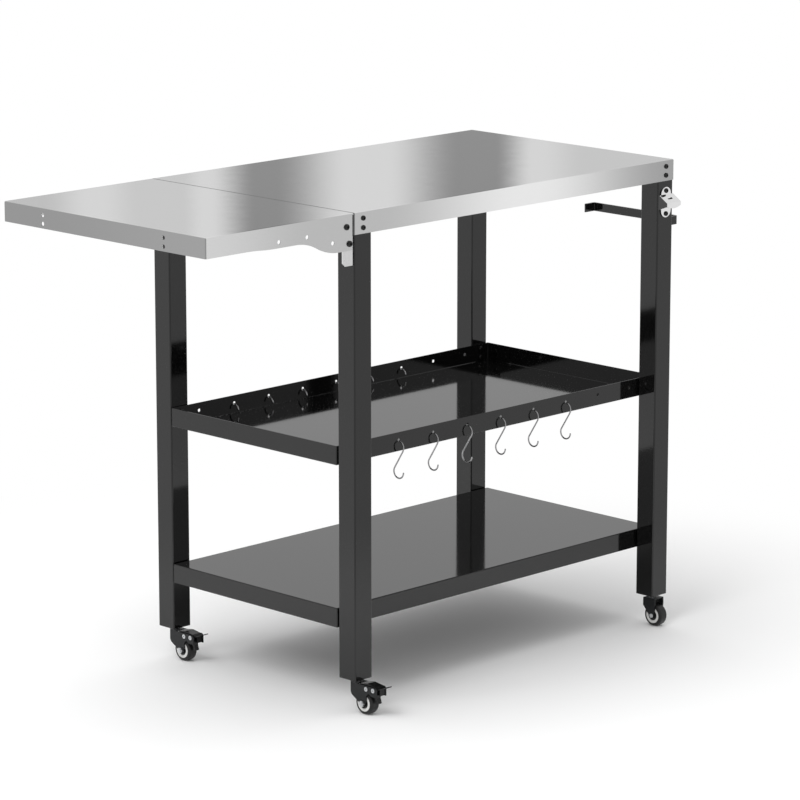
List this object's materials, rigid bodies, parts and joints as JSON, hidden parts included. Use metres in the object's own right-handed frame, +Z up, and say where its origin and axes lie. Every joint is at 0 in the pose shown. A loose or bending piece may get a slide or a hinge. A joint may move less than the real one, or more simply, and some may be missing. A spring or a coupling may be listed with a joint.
{
  "type": "outdoor work table",
  "caption": "Rolling outdoor work table: stainless top, fold-down side shelf, black legs, tray and lower shelf, S-hooks, bottle opener and a flat hanging bar.",
  "frame": {"origin": "on the floor under the middle of the whole table", "axes": "+X along the front from the side shelf to the hanging bar, +Y from front to back, +Z up"},
  "size_m": [1.156, 0.5594, 0.86],
  "materials": {
    "stainless": "brushed along the length",
    "black_powder_coat": "gloss black powder coat",
    "black_fastener": "black oxide, satin",
    "zinc": "bright zinc",
    "bracket_steel": "satin",
    "chrome_steel": "polished",
    "chrome_wire": "polished wire",
    "black_plug": "moulded",
    "caster_yoke": "black coated pressing",
    "hub": "moulded",
    "tyre_rubber": "smooth tread",
    "pedal_plastic": "moulded"
  },
  "bodies": {
    "root": {"main_top": "stainless", "leg_front_left": "black_powder_coat", "leg_front_right": "black_powder_coat", "leg_back_left": "black_powder_coat", "leg_back_right": "black_powder_coat", "middle_tray": "black_powder_coat", "lower_shelf": "black_powder_coat", "hanging_bar": "black_powder_coat", "bottle_opener": "chrome_steel", "leg_plugs": "black_plug", "top_bolts": "black_fastener", "shelf_bolts": "black_fastener", "shelf_spacers": "zinc", "bracket_bolts": "black_fastener", "leg_nuts": "zinc", "accessory_nuts": "zinc", "accessory_screws": "black_fastener", "hinge_bolts": "black_fastener", "hinge_nuts": "zinc", "hinge_bracket_front": "bracket_steel", "hinge_bracket_back": "bracket_steel", "caster_stem_front_left": "zinc", "caster_stem_front_right": "zinc", "caster_stem_back_left": "zinc", "caster_stem_back_right": "zinc"},
    "side_shelf": {"side_shelf": "stainless", "lock_bolts": "black_fastener", "lock_nuts": "zinc"},
    "swivel_front_left": {"caster_yoke_front_left": "caster_yoke", "axle_front_left": "zinc", "brake_rivets_front_left": "zinc"},
    "wheel_front_left": {"wheel_core_front_left": "hub", "tyre_front_left": "tyre_rubber"},
    "pedal_front_left": {"brake_pedal_front_left": "pedal_plastic"},
    "swivel_front_right": {"caster_yoke_front_right": "caster_yoke", "axle_front_right": "zinc"},
    "wheel_front_right": {"wheel_core_front_right": "hub", "tyre_front_right": "tyre_rubber"},
    "swivel_back_left": {"caster_yoke_back_left": "caster_yoke", "axle_back_left": "zinc", "brake_rivets_back_left": "zinc"},
    "wheel_back_left": {"wheel_core_back_left": "hub", "tyre_back_left": "tyre_rubber"},
    "pedal_back_left": {"brake_pedal_back_left": "pedal_plastic"},
    "swivel_back_right": {"caster_yoke_back_right": "caster_yoke", "axle_back_right": "zinc"},
    "wheel_back_right": {"wheel_core_back_right": "hub", "tyre_back_right": "tyre_rubber"},
    "hook_front_1": {"hook_front_1": "chrome_wire"},
    "hook_front_2": {"hook_front_2": "chrome_wire"},
    "hook_front_3": {"hook_front_3": "chrome_wire"},
    "hook_front_4": {"hook_front_4": "chrome_wire"},
    "hook_front_5": {"hook_front_5": "chrome_wire"},
    "hook_front_6": {"hook_front_6": "chrome_wire"},
    "hook_back_1": {"hook_back_1": "chrome_wire"},
    "hook_back_2": {"hook_back_2": "chrome_wire"},
    "hook_back_3": {"hook_back_3": "chrome_wire"},
    "hook_back_4": {"hook_back_4": "chrome_wire"},
    "hook_back_5": {"hook_back_5": "chrome_wire"},
    "hook_back_6": {"hook_back_6": "chrome_wire"}
  },
  "joints": [
    {"name": "side_shelf_fold", "type": "hinge", "parent": "root", "child": "side_shelf", "pos_m": [-0.259, 0.02615, 0.81], "axis": [0, -1, 0], "range_deg": [0, 94]},
    {"name": "swivel_front_left", "type": "hinge", "parent": "root", "child": "swivel_front_left", "pos_m": [-0.2268, -0.20265, 0.05], "axis": [0, 0, 1], "continuous": true},
    {"name": "roll_front_left", "type": "hinge", "parent": "swivel_front_left", "child": "wheel_front_left", "pos_m": [-0.2268, -0.23165, 0.02], "axis": [1, 0, 0], "continuous": true},
    {"name": "brake_front_left", "type": "hinge", "parent": "swivel_front_left", "child": "pedal_front_left", "pos_m": [-0.2268, -0.24065, 0.047], "axis": [1, 0, 0], "range_deg": [0, 9]},
    {"name": "swivel_front_right", "type": "hinge", "parent": "root", "child": "swivel_front_right", "pos_m": [0.5308, -0.20265, 0.05], "axis": [0, 0, 1], "continuous": true},
    {"name": "roll_front_right", "type": "hinge", "parent": "swivel_front_right", "child": "wheel_front_right", "pos_m": [0.5308, -0.21465, 0.02], "axis": [1, 0, 0], "continuous": true},
    {"name": "swivel_back_left", "type": "hinge", "parent": "root", "child": "swivel_back_left", "pos_m": [-0.2268, 0.25495, 0.05], "axis": [0, 0, 1], "continuous": true},
    {"name": "roll_back_left", "type": "hinge", "parent": "swivel_back_left", "child": "wheel_back_left", "pos_m": [-0.2268, 0.22595, 0.02], "axis": [1, 0, 0], "continuous": true},
    {"name": "brake_back_left", "type": "hinge", "parent": "swivel_back_left", "child": "pedal_back_left", "pos_m": [-0.2268, 0.21695, 0.047], "axis": [1, 0, 0], "range_deg": [0, 9]},
    {"name": "swivel_back_right", "type": "hinge", "parent": "root", "child": "swivel_back_right", "pos_m": [0.5308, 0.25495, 0.05], "axis": [0, 0, 1], "continuous": true},
    {"name": "roll_back_right", "type": "hinge", "parent": "swivel_back_right", "child": "wheel_back_right", "pos_m": [0.5308, 0.24295, 0.02], "axis": [1, 0, 0], "continuous": true},
    {"name": "swing_front_1", "type": "hinge", "parent": "root", "child": "hook_front_1", "pos_m": [-0.1, -0.17965, 0.4425], "axis": [1, 0, 0], "range_deg": [-38, 36]},
    {"name": "swing_front_2", "type": "hinge", "parent": "root", "child": "hook_front_2", "pos_m": [-0.016, -0.17965, 0.4425], "axis": [1, 0, 0], "range_deg": [-38, 36]},
    {"name": "swing_front_3", "type": "hinge", "parent": "root", "child": "hook_front_3", "pos_m": [0.068, -0.17965, 0.4425], "axis": [1, 0, 0], "range_deg": [-38, 36]},
    {"name": "swing_front_4", "type": "hinge", "parent": "root", "child": "hook_front_4", "pos_m": [0.152, -0.17965, 0.4425], "axis": [1, 0, 0], "range_deg": [-38, 36]},
    {"name": "swing_front_5", "type": "hinge", "parent": "root", "child": "hook_front_5", "pos_m": [0.236, -0.17965, 0.4425], "axis": [1, 0, 0], "range_deg": [-38, 36]},
    {"name": "swing_front_6", "type": "hinge", "parent": "root", "child": "hook_front_6", "pos_m": [0.32, -0.17965, 0.4425], "axis": [1, 0, 0], "range_deg": [-38, 36]},
    {"name": "swing_back_1", "type": "hinge", "parent": "root", "child": "hook_back_1", "pos_m": [-0.1, 0.23195, 0.4425], "axis": [-1, 0, 0], "range_deg": [-38, 36]},
    {"name": "swing_back_2", "type": "hinge", "parent": "root", "child": "hook_back_2", "pos_m": [-0.016, 0.23195, 0.4425], "axis": [-1, 0, 0], "range_deg": [-38, 36]},
    {"name": "swing_back_3", "type": "hinge", "parent": "root", "child": "hook_back_3", "pos_m": [0.068, 0.23195, 0.4425], "axis": [-1, 0, 0], "range_deg": [-38, 36]},
    {"name": "swing_back_4", "type": "hinge", "parent": "root", "child": "hook_back_4", "pos_m": [0.152, 0.23195, 0.4425], "axis": [-1, 0, 0], "range_deg": [-38, 36]},
    {"name": "swing_back_5", "type": "hinge", "parent": "root", "child": "hook_back_5", "pos_m": [0.236, 0.23195, 0.4425], "axis": [-1, 0, 0], "range_deg": [-38, 36]},
    {"name": "swing_back_6", "type": "hinge", "parent": "root", "child": "hook_back_6", "pos_m": [0.32, 0.23195, 0.4425], "axis": [-1, 0, 0], "range_deg": [-38, 36]}
  ]
}
